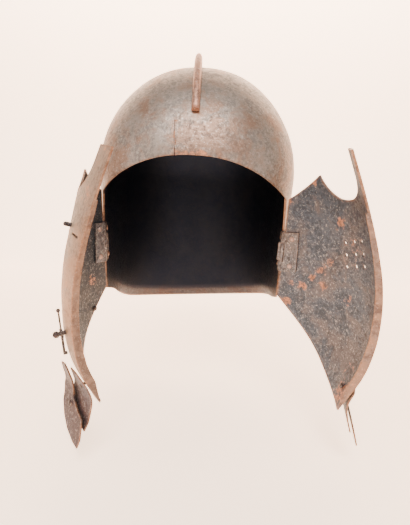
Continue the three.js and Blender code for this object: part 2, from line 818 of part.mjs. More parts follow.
// It runs a little to the wearer's right as it goes back.
function combGeometry() {
  const stations = 18;
  const half = COMB_WIDTH / 2;
  const section = [[-half, 0], [-half, 0.72], [-half * 0.55, 0.94], [0, 1], [half * 0.55, 0.94], [half, 0.72], [half, 0]];
  const positions = [];
  const indices = [];
  let footY = 0;
  for (let i = 0; i <= stations; i += 1) {
    const share = i / stations;
    const angle = THREE.MathUtils.degToRad(COMB_START_ANGLE + (COMB_END_ANGLE - COMB_START_ANGLE) * share);
    const rise = Math.sin(angle);
    const width = Math.sign(Math.cos(angle)) * (1 - rise ** DOME_POWER) ** (1 / DOME_POWER);
    const base = new THREE.Vector3(0, SKULL_CENTRE_Y - SKULL_HALF_LENGTH * width, EQUATOR_Z + DOME_HEIGHT * rise);
    const away = new THREE.Vector3(0, -Math.cos(angle), Math.sin(angle));
    if (i === 0) footY = base.y;
    const aside = COMB_SKEW * (base.y - footY);
    const swell = Math.sin(Math.PI * share) ** 0.6;
    const height = COMB_FOOT_HEIGHT + (COMB_TOP_HEIGHT - COMB_FOOT_HEIGHT) * swell;
    for (const [x, level] of section) {
      const lift = GAP + 0.1 + height * level;
      positions.push(x - aside, base.y + away.y * lift, base.z + away.z * lift);
    }
  }
  const ring = section.length;
  for (let i = 0; i < stations; i += 1) {
    for (let corner = 0; corner < ring; corner += 1) {
      const a = i * ring + corner;
      const b = i * ring + ((corner + 1) % ring);
      indices.push(a, b, b + ring, a, b + ring, a + ring);
    }
  }
  const last = stations * ring;
  for (let corner = 1; corner < ring - 1; corner += 1) {
    indices.push(0, corner + 1, corner, last, last + corner, last + corner + 1);
  }
  return closedGeometry(positions, indices);
}

// Assembly

const helmet = new THREE.Group();
const axes = new THREE.Group();
axes.position.copy(SEAT).negate();
helmet.add(axes);

function addMesh(parent, name, geometry, colour) {
  const mesh = new THREE.Mesh(geometry, steel(colour));
  mesh.name = name;
  parent.add(mesh);
  return mesh;
}

const skullRivetSeats = [];
for (const side of SIDES) {
  for (const [reach, height] of Object.values(leafRivetPlaces())) {
    skullRivetSeats.push(seatOn(skullSide, reach, height, side));
  }
}
const skullTools = [faceOpening()];
for (const side of SIDES) skullTools.push(barrelRecess(side), knuckleWeb(side, GAP));
for (const seat of skullRivetSeats) skullTools.push(drill(seat, RIVET_RADIUS + GAP, 3 * SKULL_WALL));
addMesh(axes, 'skull', cut(skullShell(), skullTools), COLOURS.skull);
addMesh(axes, 'comb', combGeometry(), COLOURS.comb);

function addSkullHinge(side) {
  addMesh(axes, `skull_hinge_leaf_${side}`, skullLeaf(side), COLOURS.hinge);
  addMesh(axes, `hinge_pin_${side}`, hingePin(side), COLOURS.hinge);
  const stack = SKULL_WALL + GAP + FACET_ALLOWANCE + LEAF_THICKNESS;
  for (const [level, [reach, height]] of Object.entries(leafRivetPlaces())) {
    const seat = seatOn(skullSide, reach, height, side);
    const rivet = standOn(rivetGeometry(stack, FLUSH_HEAD_HEIGHT, RIVET_HEAD_HEIGHT), seat);
    addMesh(axes, `skull_rivet_${side}_${level}`, rivet, COLOURS.rivet);
  }
}

function doorPlate(side) {
  const outline = doorOutline(side);
  for (const [reach, height] of Object.values(leafRivetPlaces())) outline.holes.push(rivetHole(reach, height));
  if (side === 'right') outline.holes.push(catchSlot());
  const plate = bend(flatPlate(outline, 0, DOOR_WALL, 12, 14), doorSurface, side);
  const whole = join([plate, flangeGeometry(side)]);
  const ownHoles = side === 'left' ? breathHoles() : fasteningHoles();
  const lameHole = lameRivetDrill(UPPER_LAME_PROFILE, UPPER_LAME_RIVET, side);
  return cut(whole, [barrelRecess(side), lameHole, ...ownHoles]);
}

function edgeRivetPlace() {
  const share = (EDGE_RIVET_REACH - DOOR_REAR_GAP) / (DOOR_PLATE_WIDTH - DOOR_REAR_GAP);
  return { reach: EDGE_RIVET_REACH, height: doorLowerEdge(share) + EDGE_RIVET_INSET };
}

function addDoor(side) {
  const pivot = new THREE.Vector3(SIDE_SIGN[side] * HINGE_X, 0, 0);
  const door = new THREE.Group();
  door.position.copy(pivot);
  const angle = THREE.MathUtils.degToRad(REST_ANGLE[side]) * SIDE_SIGN[side];
  door.quaternion.setFromAxisAngle(HINGE_AXIS, angle);
  axes.add(door);
  const add = (name, geometry, colour) => {
    geometry.translate(-pivot.x, 0, 0);
    return addMesh(door, `${name}_${side}`, geometry, colour);
  };

  add('door', doorPlate(side), COLOURS.door);
  add('door_hinge_leaf', doorLeaf(side), COLOURS.hinge);
  const leafStack = DOOR_WALL + GAP + FACET_ALLOWANCE + LEAF_THICKNESS;
  for (const [level, [reach, height]] of Object.entries(leafRivetPlaces())) {
    const rivet = rivetGeometry(leafStack, FLUSH_HEAD_HEIGHT, RIVET_HEAD_HEIGHT);
    add(`door_rivet_${level}`, standOn(rivet, seatOn(doorSurface, reach, height, side)), COLOURS.rivet);
  }
  addLames(add, side);
  if (side === 'right') addFastening(door, add, pivot);
}

function lameRivetDrill(profile, [x, height], side) {
  return drill(seatOn(lameSurface(profile), x, height, side), RIVET_RADIUS + GAP, 2 * LAME_RIVET_REACH);
}

function addLames(add, side) {
  const upperRivetDrill = lameRivetDrill(UPPER_LAME_PROFILE, UPPER_LAME_RIVET, side);
  const lowerRivetDrill = lameRivetDrill(LOWER_LAME_PROFILE, LOWER_LAME_RIVET, side);
  const upperSurface = lameSurface(UPPER_LAME_PROFILE);
  const lowerSurface = lameSurface(LOWER_LAME_PROFILE);
  const upper = bend(flatPlate(outlineFrom(UPPER_LAME_OUTLINE), 0, LAME_WALL, 5, 8), upperSurface, side);
  const lower = bend(flatPlate(outlineFrom(LOWER_LAME_OUTLINE), 0, LAME_WALL, 6, 10), lowerSurface, side);
  add('upper_lame', cut(upper, [upperRivetDrill, lowerRivetDrill]), COLOURS.lame);
  add('lower_lame', cut(lower, [lowerRivetDrill]), COLOURS.lame);

  const doorStack = LAME_WALL + LAME_TO_DOOR + DOOR_WALL;
  const upperRivet = rivetGeometry(doorStack, FLUSH_HEAD_HEIGHT, RIVET_HEAD_HEIGHT);
  add('upper_lame_rivet', standOn(upperRivet, seatOn(upperSurface, ...UPPER_LAME_RIVET, side)), COLOURS.rivet);
  const lameStack = LAME_WALL + LAME_TO_LAME + LAME_WALL;
  const lowerRivet = rivetGeometry(lameStack, RIVET_HEAD_HEIGHT, FLUSH_HEAD_HEIGHT);
  add('lower_lame_rivet', standOn(lowerRivet, seatOn(lowerSurface, ...LOWER_LAME_RIVET, side)), COLOURS.rivet);
}

function addFastening(door, add, pivot) {
  const side = 'right';
  add('hook_post', standOn(pinGeometry(POST_LENGTH, POST_HEAD_RADIUS), seatOn(doorSurface, POST_REACH, POST_Z, side)),
    COLOURS.rivet);
  add('catch_pin', standOn(pinGeometry(CATCH_LENGTH, POST_RADIUS), seatOn(doorSurface, CATCH_REACH, CATCH_Z, side)),
    COLOURS.rivet);
  const edge = edgeRivetPlace();
  const edgeRivet = rivetGeometry(DOOR_WALL, FLUSH_HEAD_HEIGHT, RIVET_HEAD_HEIGHT * 1.6);
  add('edge_rivet', standOn(edgeRivet, seatOn(doorSurface, edge.reach, edge.height, side)), COLOURS.rivet);

  const { turn, centre } = hookPlacement(side);
  const hook = new THREE.Group();
  hook.position.copy(centre).sub(pivot);
  hook.quaternion.setFromRotationMatrix(turn);
  door.add(hook);
  addMesh(hook, 'fastening_hook', hookGeometry(), COLOURS.rivet);
}

for (const side of SIDES) {
  addSkullHinge(side);
  addDoor(side);
}

export default helmet;
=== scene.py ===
"""Looks of the armet: fine steel skins for the skull, comb, cheek doors and lames, with their
patina, rust and wear, painted shade in the skull's hollow and painted highlights on the hinges and
rivets, then the light and the camera. Lengths are in millimetres in helmet axes, whose zero point is
midway between the hinges; place() turns them into the row frame in metres."""
import math

import bmesh
import bpy
import numpy as np
from mathutils import Matrix, Vector, noise
from mathutils.geometry import delaunay_2d_cdt


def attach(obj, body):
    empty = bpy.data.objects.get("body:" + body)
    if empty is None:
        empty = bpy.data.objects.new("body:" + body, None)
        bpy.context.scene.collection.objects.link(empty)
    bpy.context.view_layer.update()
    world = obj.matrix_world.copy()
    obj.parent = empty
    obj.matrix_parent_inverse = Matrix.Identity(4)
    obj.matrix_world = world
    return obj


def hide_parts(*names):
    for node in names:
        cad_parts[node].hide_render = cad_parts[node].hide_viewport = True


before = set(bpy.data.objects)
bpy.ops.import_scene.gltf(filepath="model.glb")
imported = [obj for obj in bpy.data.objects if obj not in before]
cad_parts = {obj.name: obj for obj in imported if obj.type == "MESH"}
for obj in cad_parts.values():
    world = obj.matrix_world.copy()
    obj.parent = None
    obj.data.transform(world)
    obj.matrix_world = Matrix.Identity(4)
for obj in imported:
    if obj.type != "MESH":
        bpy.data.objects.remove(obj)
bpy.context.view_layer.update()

# Skull, as in the CAD part
SKULL_HALF_WIDTH, SKULL_HALF_LENGTH, SKULL_WALL = 110.5, 118.0, 2.0
SKULL_CENTRE_Y, EQUATOR_Z, DOME_HEIGHT = 57.0, 78.0, 118.5
DOME_POWER, PLAN_POWER, WALL_TAPER = 1.955, 2.45, 0.06
BROW_Z, BROW_DROP, BROW_HALF_SPAN, BROW_POWER = 90.0, 36.0, 97.0, 2.2
EDGE_SETBACK, SIDE_EDGE_BOTTOM, LOWER_EDGE_SLOPE = 0.8, -54.0, 0.246
NAPE_FLARE, NAPE_FLARE_HEIGHT, NAPE_FLARE_POWER = 5.0, 13.0, 1.2
NAPE_START_Y, NAPE_END_Y = SKULL_CENTRE_Y - 10, SKULL_CENTRE_Y + 70
NAPE_DROP, NAPE_TILT = 3.0, 0.07
COMB_WIDTH, COMB_FOOT, COMB_TOP, COMB_LIFT, COMB_SKEW = 7.5, 5.0, 13.5, 0.4, 0.05
COMB_START, COMB_END = 26.0, 163.0
SEAT = np.array([0.0, SKULL_CENTRE_Y, EQUATOR_Z + DOME_HEIGHT - SKULL_WALL])

# Hinges, doors and lames, as in the CAD part
HINGE_X, HINGE_LEAN, HINGE_LENGTH, KNUCKLE_CLEARANCE = 98.0, 0.24, 43.0, 3.7
DOOR_WALL, DOOR_WIDTH, DOOR_TOP, DOOR_BOTTOM, DOOR_BELLY = 1.8, 133.0, 107.0, -130.0, 79.3
DOOR_CONTROL_X, DOOR_FULLNESS, MIDLINE_GAP = 63.5, 1.02, 0.4
DOOR_REAR_GAP, DOOR_REAR_TOP, DOOR_REAR_BOTTOM, LOWER_EDGE_POWER = 0.5, 56.0, -51.0, 2.5
DOOR_PEAK = {"left": (40.0, 79.5), "right": (47.0, 75.5)}
EYE_NOTCH = (73.0, 59.0)
REST_ANGLE = {"left": 82.0, "right": 45.0}
NASAL_WIDTH = {"left": 15.0, "right": 22.0}
NASAL_TOP = {"left": 107.0, "right": 100.0}
SIGN = {"left": 1.0, "right": -1.0}
FLANGE_WALL, FLANGE_TOP, FLANGE_DEPTH_TOP, FLANGE_DEPTH_BOTTOM = 1.6, 58.0, 3.0, 9.0
FLANGE_TIP_SHARE = 0.14
HOLE_ROWS, HOLE_COLUMNS, HOLE_FIRST_REACH, HOLE_TOP_Z = 3, 3, 68.0, 17.0
HOLE_COLUMN_STEP, HOLE_ROW_STEP, HOLE_ROW_RISE = 13.2, 12.2, 0.27
SLOT_REACH, SLOT_Z, SLOT_LENGTH, SLOT_HEIGHT = 116.0, 26.0, 16.0, 2.0
LAME_WALL, LAME_CURVE = 1.4, 0.0004

# Only here: how finely the skins are divided, wider breath holes, and the crack above the brow
SKULL_COLUMNS, FLARE_ROWS, WALL_ROWS, DOME_ROWS = 220, 5, 34, 44
COMB_STATIONS, FLANGE_ROWS = 150, 110
DOOR_SPACING, LAME_SPACING = 2.6, 2.0
HOLE_RADIUS, HOLE_GROWTH = 1.75, 0.3
CRACK_X, CRACK_LOW, CRACK_HIGH, CRACK_HALF_WIDTH, CRACK_DEPTH = -17.5, 84.0, 121.0, 0.8, 1.85

# A point inside the skull that its walls look away from, and a distance past every edge
WALL_CENTRE = np.array([0, SKULL_CENTRE_Y, 20])
FAR_AWAY = 99

# Columns: share of the door's height, share of the belly's depth
MIDLINE_PROFILE = [(0, 0.46), (0.15, 0.755), (0.28, 0.905), (0.41, 0.98), (0.535, 1),
                   (0.65, 0.975), (0.76, 0.93), (0.88, 0.865), (1, 0.79)]
# Columns: height, depth in front of the hinges
UPPER_LAME_PROFILE = [(-160, 46.5), (-140, 44.8), (-126, 45.6), (-112, 52.3), (-98, 60.3)]
LOWER_LAME_PROFILE = [(-177, 51.6), (-150, 49.2), (-138, 48.4), (-126, 49.8), (-112, 56.2),
                      (-94, 66)]
# Columns: distance from the middle, height
UPPER_LAME = [(0.6, -112), (0.6, -150), (3, -160), (18, -157), (33, -153), (39, -142), (37, -128),
              (30, -113), (26, -103), (14, -103)]
LOWER_LAME = [(1.5, -168), (3, -177), (13, -176), (27, -171), (38, -163), (46, -152), (50, -134),
              (46, -115), (36, -101), (25, -97), (28, -112), (31, -128), (28, -138), (20, -144),
              (7, -149), (4, -156)]
# Rust on the doors' inner faces. Columns: distance from the hinge, height, radius, strength
DOOR_STAINS = {
    "left": [(64, 36, 8, 1), (50, -6, 7, 0.9), (39, -17, 7, 1), (22, -37, 6, 1), (30, -27, 5, 1.2),
             (43, -33, 6, 0.9), (18, 68, 6, 0.9), (25, 71, 5, 0.9), (32, 74, 5, 1), (1, 55, 6, 1),
             (10, -35, 6, 0.8), (10, -57, 7, 1), (73, -41, 8, 0.8), (122, -59, 9, 0.8),
             (80, 12, 18, 0.55), (112, -100, 16, 0.6), (122, -118, 18, 0.9), (60, 0, 22, 0.4)],
    "right": [(20, -40, 9, 0.8), (60, 10, 14, 0.6), (95, 40, 16, 0.8), (118, 60, 16, 0.9),
              (112, -20, 18, 0.7), (124, -90, 22, 0.9), (30, 50, 12, 0.7), (126, 100, 14, 0.9)],
}


def place(points):
    """Helmet millimetres to row-frame metres."""
    return (np.asarray(points, float) - SEAT) / 1000.0


def profile_at(rows, position):
    """Smooth curve through rows of (position, value), straight beyond its ends."""
    x = np.array([r[0] for r in rows], float)
    v = np.array([r[1] for r in rows], float)
    last = len(x) - 1
    before = np.maximum(np.arange(last + 1) - 1, 0)
    after = np.minimum(np.arange(last + 1) + 1, last)
    slope = (v[after] - v[before]) / (x[after] - x[before])
    q = np.asarray(position, float)
    i = np.clip(np.searchsorted(x, q) - 1, 0, last - 1)
    span = x[i + 1] - x[i]
    t = (np.clip(q, x[0], x[-1]) - x[i]) / span
    inside = (v[i] * (2 * t**3 - 3 * t**2 + 1) + slope[i] * span * (t**3 - 2 * t**2 + t)
              + v[i + 1] * (3 * t**2 - 2 * t**3) + slope[i + 1] * span * (t**3 - t**2))
    return inside + slope[0] * np.minimum(0, q - x[0]) + slope[last] * np.maximum(0, q - x[-1])


def signed_power(value, power):
    return np.sign(value) * np.abs(value) ** power


def smooth_step(value, start, end):
    t = np.clip((value - start) / (end - start), 0, 1)
    return t * t * (3 - 2 * t)


def waves(points, size, seed):
    """Slow smooth noise, one value per point, for features of about size millimetres."""
    shift = Vector((seed * 17.3, seed * 5.1, seed * 9.7))
    return np.array([noise.noise(Vector(p) / size + shift) for p in points])


def new_object(name, data):
    """An object of the scene that shows a mesh, a light or a camera."""
    item = bpy.data.objects.new(name, data)
    bpy.context.scene.collection.objects.link(item)
    return item


def set_attribute(mesh, name, values):
    layer = mesh.attributes.get(name) or mesh.attributes.new(name, "FLOAT", "POINT")
    layer.data.foreach_set("value", np.asarray(values, np.float32))


def finish_mesh(mesh, sharp):
    """Faces turned outward and shaded smooth, with edges sharp past an angle in degrees."""
    work = bmesh.new()
    work.from_mesh(mesh)
    bmesh.ops.recalc_face_normals(work, faces=work.faces)
    work.to_mesh(mesh)
    work.free()
    mesh.shade_smooth()
    mesh.set_sharp_from_angle(angle=math.radians(sharp))


def add_piece(name, points, faces, body, replaced, attributes=None, sharp=32):
    """A smooth-shaded piece that rides on a body and stands for CAD nodes."""
    mesh = bpy.data.meshes.new(name)
    mesh.from_pydata([tuple(p) for p in place(points)], [], [tuple(int(i) for i in f) for f in faces])
    mesh.update()
    for key, values in (attributes or {}).items():
        set_attribute(mesh, key, values)
    finish_mesh(mesh, sharp)
    piece = new_object(name, mesh)
    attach(piece, body)
    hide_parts(*replaced)
    return piece


def sweep_faces(rows, ring):
    """Faces of a bar with closed ends, made of rows of points with ring points in each."""
    last = rows - 1
    faces = [tuple(range(ring)), tuple(last * ring + i for i in reversed(range(ring)))]
    for row in range(last):
        for corner in range(ring):
            a, b = row * ring + corner, row * ring + (corner + 1) % ring
            faces.append((a, b, b + ring, a + ring))
    return faces


# Tools that cut

def prism(outline, y_front, y_back):
    """A closed block with an x-z outline; its ends lie on two functions of z."""
    front = [(x, y_front(z), z) for x, z in outline]
    back = [(x, y_back(z), z) for x, z in outline]
    n = len(outline)
    faces = [tuple(range(n)), tuple(reversed(range(n, 2 * n)))]
    faces += [(i, i + n, (i + 1) % n + n, (i + 1) % n) for i in range(n)]
    return front + back, faces


def hinge_rod(side, radius, half_length, segments=40):
    """A round bar along a hinge's axis."""
    axis = np.array([0, -HINGE_LEAN, 1]) / math.hypot(HINGE_LEAN, 1)
    across = np.array([1.0, 0, 0])
    third = np.cross(axis, across)
    ring = [across * math.cos(a) + third * math.sin(a)
            for a in np.arange(segments) * 2 * math.pi / segments]
    centre = np.array([SIGN[side] * HINGE_X, 0, 0])
    low = [centre - axis * half_length + radius * r for r in ring]
    high = [centre + axis * half_length + radius * r for r in ring]
    n = segments
    faces = [tuple(reversed(range(n))), tuple(range(n, 2 * n))]
    faces += [(i, (i + 1) % n, (i + 1) % n + n, i + n) for i in range(n)]
    return low + high, faces


def tool_object(points, faces):
    mesh = bpy.data.meshes.new("tool")
    mesh.from_pydata([tuple(p) for p in place(points)], [], faces)
    finish_mesh(mesh, 30)
    return new_object("tool", mesh)


def cut_away(piece, tools):
    """Cuts tool objects out of a piece and removes them."""
    for tool in tools:
        step = piece.modifiers.new("cut", "BOOLEAN")
        step.operation = "DIFFERENCE"
        step.solver = "EXACT"
        step.object = tool
    bpy.context.view_layer.update()
    graph = bpy.context.evaluated_depsgraph_get()
    mesh = bpy.data.meshes.new_from_object(piece.evaluated_get(graph))
    piece.modifiers.clear()
    piece.data = mesh
    for tool in tools:
        bpy.data.objects.remove(tool)


# Skull and comb

def plan(angle, half_width, half_length):
    """The skull seen from above: a full oval."""
    x = half_width * signed_power(np.cos(angle), 2 / PLAN_POWER)
    y = SKULL_CENTRE_Y + half_length * signed_power(np.sin(angle), 2 / PLAN_POWER)
    return x, y


def dome_width(rise):
    """Width of the dome as a share of the equator's, at a share of its height."""
    return (1 - rise**DOME_POWER) ** (1 / DOME_POWER)


def rear_share(y):
    """0 in front of the nape, 1 at its back."""
    return smooth_step(y, NAPE_START_Y, NAPE_END_Y)


def rim_z(x, y):
    """Height of the skull's lower edge."""
    side_edge = SIDE_EDGE_BOTTOM - LOWER_EDGE_SLOPE * (y - HINGE_LEAN * HINGE_LENGTH)
    return side_edge + rear_share(y) * (NAPE_TILT * x - NAPE_DROP)


def brow_z(x):
    return BROW_Z - BROW_DROP * (np.abs(x) / BROW_HALF_SPAN) ** BROW_POWER


def skull_layer(angles, inset):
    """Rows of points from the lower edge up to just under the crown, one column per angle."""
    edge_x, edge_y = plan(angles, SKULL_HALF_WIDTH, SKULL_HALF_LENGTH)
    rear = rear_share(edge_y)
    bottom = rim_z(edge_x, edge_y)
    crease = bottom + NAPE_FLARE_HEIGHT
    rows = []
    for i in range(FLARE_ROWS + WALL_ROWS):
        if i < FLARE_ROWS:
            z = bottom + NAPE_FLARE_HEIGHT * i / FLARE_ROWS
            spread = NAPE_FLARE * rear * (1 - i / FLARE_ROWS) ** NAPE_FLARE_POWER
        else:
            z = crease + (EQUATOR_Z - crease) * (i - FLARE_ROWS) / WALL_ROWS
            spread = 0
        half = SKULL_HALF_WIDTH - WALL_TAPER * np.maximum(0, EQUATOR_Z - z)
        x, y = plan(angles, half + spread - inset, SKULL_HALF_LENGTH + spread - inset)
        rows.append(np.stack([x, y, z * np.ones_like(x)], 1))
    for i in range(DOME_ROWS):
        rise = math.sin(math.pi / 2 * i / DOME_ROWS)
        width = dome_width(rise)
        x, y = plan(angles, (SKULL_HALF_WIDTH - inset) * width, (SKULL_HALF_LENGTH - inset) * width)
        z = EQUATOR_Z + (DOME_HEIGHT - inset) * rise
        rows.append(np.stack([x, y, np.full_like(x, z)], 1))
    return np.array(rows)


def hammered(points):
    """The outer wall is never quite true: it sinks a little here and there."""
    sink = 0.55 * np.clip(waves(points, 42, 1) + 0.25, 0, 1)
    sink += 0.25 * np.clip(waves(points, 17, 2), 0, 1)
    away = points - WALL_CENTRE
    away[:, 2] = np.maximum(0, points[:, 2] - EQUATOR_Z)
    away /= np.linalg.norm(away, axis=1)[:, None]
    return points - away * sink[:, None]


def skull_points_and_faces():
    angles = np.arange(SKULL_COLUMNS) * 2 * math.pi / SKULL_COLUMNS
    outer = skull_layer(angles, 0.0)
    inner = skull_layer(angles, SKULL_WALL)
    rows = len(outer)
    crown = [[0, SKULL_CENTRE_Y, EQUATOR_Z + DOME_HEIGHT],
             [0, SKULL_CENTRE_Y, EQUATOR_Z + DOME_HEIGHT - SKULL_WALL]]
    points = np.concatenate([hammered(outer.reshape(-1, 3)), inner.reshape(-1, 3), crown])
    around = SKULL_COLUMNS
    shift = rows * around
    faces = []
    for row in range(rows - 1):
        for i in range(around):
            j = (i + 1) % around
            a, b = row * around + i, row * around + j
            c, d = b + around, a + around
            faces.append((a, b, c, d))
            faces.append((shift + b, shift + a, shift + d, shift + c))
    top = (rows - 1) * around
    for i in range(around):
        j = (i + 1) % around
        faces.append((top + i, top + j, 2 * shift))
        faces.append((shift + top + j, shift + top + i, 2 * shift + 1))
        faces.append((j, i, shift + i, shift + j))
    return points, faces


def dome_front_y(x, z):
    """Depth of the skull's outer face in front, above the equator."""
    width = dome_width((z - EQUATOR_Z) / DOME_HEIGHT)
    reach = 1 - (abs(x) / (SKULL_HALF_WIDTH * width)) ** PLAN_POWER
    return SKULL_CENTRE_Y - SKULL_HALF_LENGTH * width * reach ** (1 / PLAN_POWER)


def crack_tool():
    """A thin wandering blade that scores the dome above the brow."""
    before_dome = -90
    heights = np.linspace(CRACK_LOW, CRACK_HIGH, 16)
    along = (heights - CRACK_LOW) / (CRACK_HIGH - CRACK_LOW)
    middle = CRACK_X + 1.1 * np.sin(5.2 * along) + 0.5 * np.sin(17 * along)
    half = CRACK_HALF_WIDTH * (1 - 0.75 * along)
    outline = [(x + h, z) for x, h, z in zip(middle, half, heights)]
    outline += [(x - h, z) for x, h, z in reversed(list(zip(middle, half, heights)))]
    return tool_object(*prism(outline, lambda z: before_dome,
                              lambda z: dome_front_y(CRACK_X, z) + CRACK_DEPTH))


def opening_tool():
    """The space in front of the skull's edge and under its brow."""
    before_face = -240
    reach = BROW_HALF_SPAN + 6
    outline = [(-reach, 2 * SIDE_EDGE_BOTTOM)]
    outline += [(x, float(brow_z(x))) for x in np.linspace(-reach, reach, 81)]
    outline += [(reach, 2 * SIDE_EDGE_BOTTOM)]
    return tool_object(*prism(outline, lambda z: before_face,
                              lambda z: EDGE_SETBACK - HINGE_LEAN * z))


def paint_skull(mesh):
    """Says where the skull has worn edges and stains, and where its hollow is painted dark, partly as
    patina and partly as shade.
    """
    spots = np.array([v.co for v in mesh.vertices]) * 1000 + SEAT
    x, y, z = spots.T
    front = y < 20
    beside_face = z < BROW_Z - BROW_DROP + 12
    to_brow = np.where(front, np.abs(z - brow_z(x)), FAR_AWAY)
    to_side = np.where(beside_face, np.abs(y - EDGE_SETBACK + HINGE_LEAN * z), FAR_AWAY)
    above_rim = z - rim_z(x, y)
    distance = np.minimum(np.minimum(to_brow, to_side), np.abs(above_rim))
    set_attribute(mesh, "edge", np.exp(-distance / 2.2))

    worn_brow = np.exp(-(np.maximum(0, np.abs(x + 3) - 12) / 6) ** 2 - (to_brow / 6) ** 2)
    brow_band = 0.55 * np.exp(-(to_brow / 9) ** 2)
    at_crack = front * (z > CRACK_LOW) * (z < CRACK_HIGH + 3)
    near_crack = 0.8 * np.exp(-((x - CRACK_X) / 2.4) ** 2) * at_crack
    set_attribute(mesh, "stain", np.maximum(np.maximum(1.2 * worn_brow, brow_band), near_crack))

    normals = np.array([v.normal for v in mesh.vertices])
    inward = np.einsum("ij,ij->i", normals, spots - WALL_CENTRE) < 0
    # The hollow is painted dark, partly as patina and partly as painted shade, a little less within
    # 15 mm of the rim; the painted shade also keeps pale specks and rust off it.
    hollow = inward * (0.8 + 0.2 * smooth_step(above_rim, 7, 15))
    set_attribute(mesh, "inside", hollow)
    set_attribute(mesh, "hollow_shade", hollow)


def build_skull():
    points, faces = skull_points_and_faces()
    skull = add_piece("skull_skin", points, faces, "skull_body", ["skull"])
    recess_half = HINGE_LENGTH / 2 + 2
    recesses = [tool_object(*hinge_rod(side, KNUCKLE_CLEARANCE, recess_half)) for side in SIGN]
    cut_away(skull, [opening_tool(), *recesses, crack_tool()])
    paint_skull(skull.data)
    finish_mesh(skull.data, 30)
    return skull


def build_comb():
    """A ridge over the dome, with a rounded top and low ends."""
    half = COMB_WIDTH / 2
    section = [(-half, 0.0), (-half, 0.45), (-half * 0.97, 0.68), (-half * 0.85, 0.82),
               (-half * 0.6, 0.93), (-half * 0.3, 0.98), (0, 1.0)]
    section += [(-x, level) for x, level in reversed(section[:-1])]
    points = []
    edge = []
    for i in range(COMB_STATIONS + 1):
        share = i / COMB_STATIONS
        angle = math.radians(COMB_START + (COMB_END - COMB_START) * share)
        rise = math.sin(angle)
        width = math.copysign(dome_width(rise), math.cos(angle))
        base_y = SKULL_CENTRE_Y - SKULL_HALF_LENGTH * width
        base = np.array([0, base_y, EQUATOR_Z + DOME_HEIGHT * rise])
        away = np.array([0, -math.cos(angle), math.sin(angle)])
        swell = max(0.0, math.sin(math.pi * share)) ** 0.6
        height = COMB_FOOT + (COMB_TOP - COMB_FOOT) * swell
        if i == 0:
            foot_y = base_y
        aside = COMB_SKEW * (base_y - foot_y)
        for x, level in section:
            across = np.array([x * (1 - 0.02 * level) - aside, 0, 0])
            points.append(base + away * (COMB_LIFT + height * level) + across)
            edge.append(level**4 * 0.5)
    faces = sweep_faces(COMB_STATIONS + 1, len(section))
    return add_piece("comb_skin", points, faces, "skull_body", ["comb"],
                     {"edge": edge, "inside": np.zeros(len(points))}, sharp=40)


# Bent plates: drawn flat as distance from the hinge or middle and height, then bent

def bezier(a, b, c, d, steps):
    """Points of a curve from a to d, without a itself."""
    t = np.linspace(0, 1, steps + 1)[1:, None]
    a, b, c, d = (np.array(p, float) for p in (a, b, c, d))
    return (1 - t) ** 3 * a + 3 * (1 - t) ** 2 * t * b + 3 * (1 - t) * t**2 * c + t**3 * d


def resampled(loop, spacing):
    """A closed outline with points no further apart than spacing."""
    result = []
    for a, b in zip(loop, np.roll(loop, -1, axis=0)):
        count = max(1, int(math.ceil(np.linalg.norm(b - a) / spacing)))
        result += [a + (b - a) * k / count for k in range(count)]
    return np.array(result)


def circle(centre, radius, count=18):
    angles = np.arange(count) * 2 * math.pi / count
    return np.array([[centre[0] + radius * math.cos(a), centre[1] + radius * math.sin(a)]
                     for a in angles])


def inside_loop(points, loop):
    crossings = np.zeros(len(points), bool)
    for a, b in zip(loop, np.roll(loop, -1, axis=0)):
        spans = (a[1] > points[:, 1]) != (b[1] > points[:, 1])
        if a[1] != b[1]:
            x = a[0] + (points[:, 1] - a[1]) * (b[0] - a[0]) / (b[1] - a[1])
            crossings ^= spans & (points[:, 0] < x)
    return crossings


def distance_to_loop(points, loop):
    best = np.full(len(points), 1e9)
    for a, b in zip(loop, np.roll(loop, -1, axis=0)):
        along = b - a
        t = np.clip(((points - a) @ along) / max(along @ along, 1e-12), 0, 1)
        best = np.minimum(best, np.linalg.norm(points - (a + t[:, None] * along), axis=1))
    return best


def flat_mesh(outline, holes, spacing):
    """Triangles that fill an outline with holes, and each point's distance to the outline and
    to the nearest hole."""
    loop = resampled(outline, spacing)
    loops = [loop, *holes]
    low, high = loop.min(0), loop.max(0)
    xs = np.arange(low[0] + spacing / 2, high[0], spacing)
    ys = np.arange(low[1] + spacing / 2, high[1], spacing)
    grid = np.array([[x + (k % 2) * spacing / 2, y] for k, y in enumerate(ys) for x in xs])
    keep = inside_loop(grid, loop) & (distance_to_loop(grid, loop) > spacing * 0.45)
    for hole in holes:
        keep &= ~inside_loop(grid, hole) & (distance_to_loop(grid, hole) > spacing * 0.3)
    points = np.concatenate([*loops, grid[keep]])
    edges = []
    start = 0
    for one in loops:
        edges += [(start + i, start + (i + 1) % len(one)) for i in range(len(one))]
        start += len(one)
    result = delaunay_2d_cdt([Vector(p) for p in points], edges, [], 0, 1e-5)
    vertices = np.array([list(v) for v in result[0]])
    faces = np.array([f for f in result[2] if len(f) == 3])
    centres = vertices[faces].mean(1)
    good = inside_loop(centres, loop)
    for hole in holes:
        good &= ~inside_loop(centres, hole)
    faces = faces[good]
    used = np.unique(faces)
    renumber = np.full(len(vertices), -1)
    renumber[used] = np.arange(len(used))
    vertices, faces = vertices[used], renumber[faces]
    distance = distance_to_loop(vertices, loop)
    hole_distance = np.full(len(vertices), 1e9)
    for hole in holes:
        hole_distance = np.minimum(hole_distance, distance_to_loop(vertices, hole))
    return vertices, faces, distance, hole_distance


def normals_of(surface, flat):
    """Outward directions of a bent surface."""
    step = 0.5
    across = surface(flat + [step, 0]) - surface(flat - [step, 0])
    upward = surface(flat + [0, step]) - surface(flat - [0, step])
    normal = np.cross(across, upward)
    normal /= np.linalg.norm(normal, axis=1)[:, None]
    away = surface(flat) - np.array([0, SKULL_CENTRE_Y, 0])
    away[:, 2] = 0
    return normal * np.where(np.einsum("ij,ij->i", normal, away) < 0, -1.0, 1.0)[:, None]


